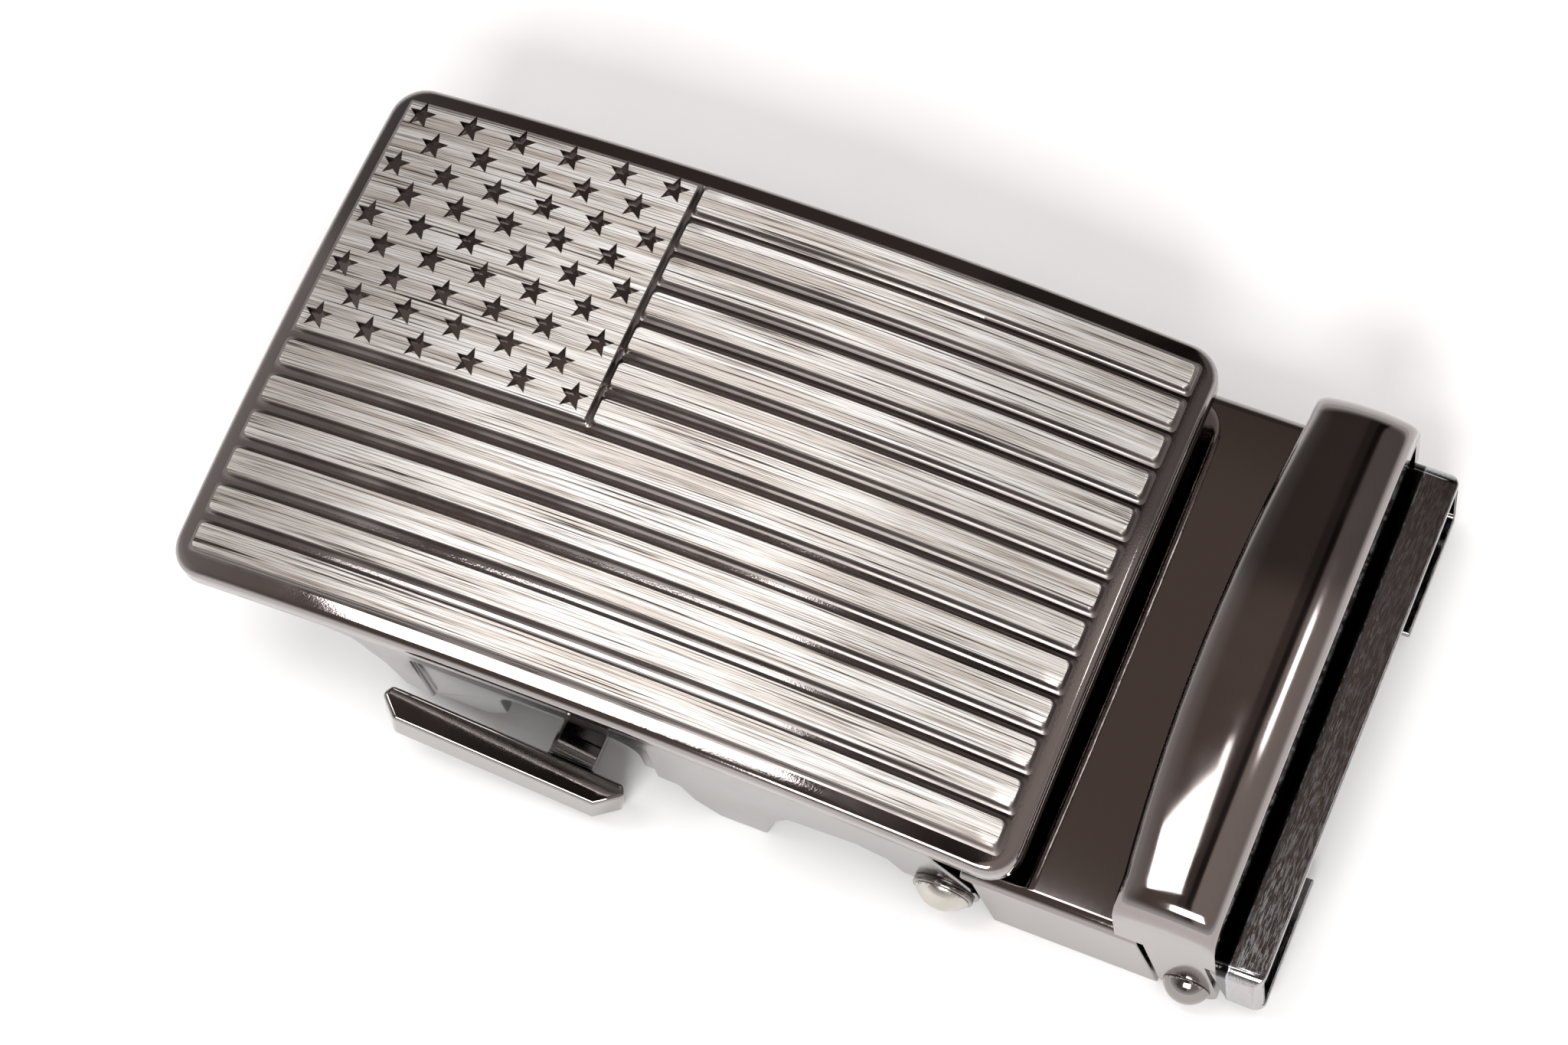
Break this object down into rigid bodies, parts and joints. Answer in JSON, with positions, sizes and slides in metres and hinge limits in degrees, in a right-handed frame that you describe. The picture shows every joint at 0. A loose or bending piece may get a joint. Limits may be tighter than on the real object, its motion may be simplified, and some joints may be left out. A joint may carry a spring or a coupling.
{
  "type": "automatic belt buckle",
  "caption": "Automatic belt buckle with a domed relief face plate, sprung pawl and release lever, and a hinged strap clip with keeper bar and toothed jaw.",
  "frame": {"origin": "centre of the bounding box's footprint on the surface that the buckle lies on, face up", "axes": "+X along the strap from the face plate to the clip, +Y away from the release lever, +Z out of the front face"},
  "size_m": [0.0806, 0.044, 0.018],
  "materials": {
    "face_gunmetal": "black chrome plate under brushed bare relief",
    "frame_gunmetal": "polished gunmetal plating",
    "bar_steel": "turned steel",
    "pawl_steel": "stamped steel, dark nickel",
    "pin_steel": "turned steel",
    "spring_steel": "drawn spring wire",
    "lever_black": "polished black chrome",
    "screw_steel": "dark zinc",
    "clip_black": "polished black chrome on bent sheet",
    "keeper_black": "polished black chrome",
    "jaw_steel": "stamped steel, dark nickel",
    "rivet_nickel": "satin nickel",
    "washer_black": "polished black chrome",
    "rivet_black": "polished black chrome"
  },
  "bodies": {
    "frame": {"face_plate": "face_gunmetal", "main_frame": "frame_gunmetal", "exit_bar": "bar_steel", "entry_bar": "bar_steel", "pawl_pin": "pin_steel", "pawl_spring": "spring_steel", "link_rivet_near": "rivet_nickel", "link_rivet_far": "rivet_nickel", "link_washer_near": "washer_black", "link_washer_far": "washer_black"},
    "pawl": {"pawl": "pawl_steel", "release_lever": "lever_black", "lever_screw": "screw_steel"},
    "clip": {"base_plate": "clip_black", "keeper_bar": "keeper_black", "jaw_rivet_near": "rivet_black", "jaw_rivet_far": "rivet_black"},
    "jaw": {"jaw_flap": "jaw_steel"}
  },
  "joints": [
    {"name": "pawl_hinge", "type": "hinge", "parent": "frame", "child": "pawl", "pos_m": [0.0009, 0.001, 0.004], "axis": [0, -1, 0], "range_deg": [0, 9], "stiffness_Nm_per_rad": 0.02, "springref_deg": -17.19, "deforming": ["pawl_spring"]},
    {"name": "clip_hinge", "type": "hinge", "parent": "frame", "child": "clip", "pos_m": [0.0174, 0.001, 0.004], "axis": [0, 1, 0], "range_deg": [-5, 25]},
    {"name": "jaw_hinge", "type": "hinge", "parent": "clip", "child": "jaw", "pos_m": [0.0349, 0.001, 0.0023], "axis": [0, -1, 0], "range_deg": [0, 90]}
  ]
}
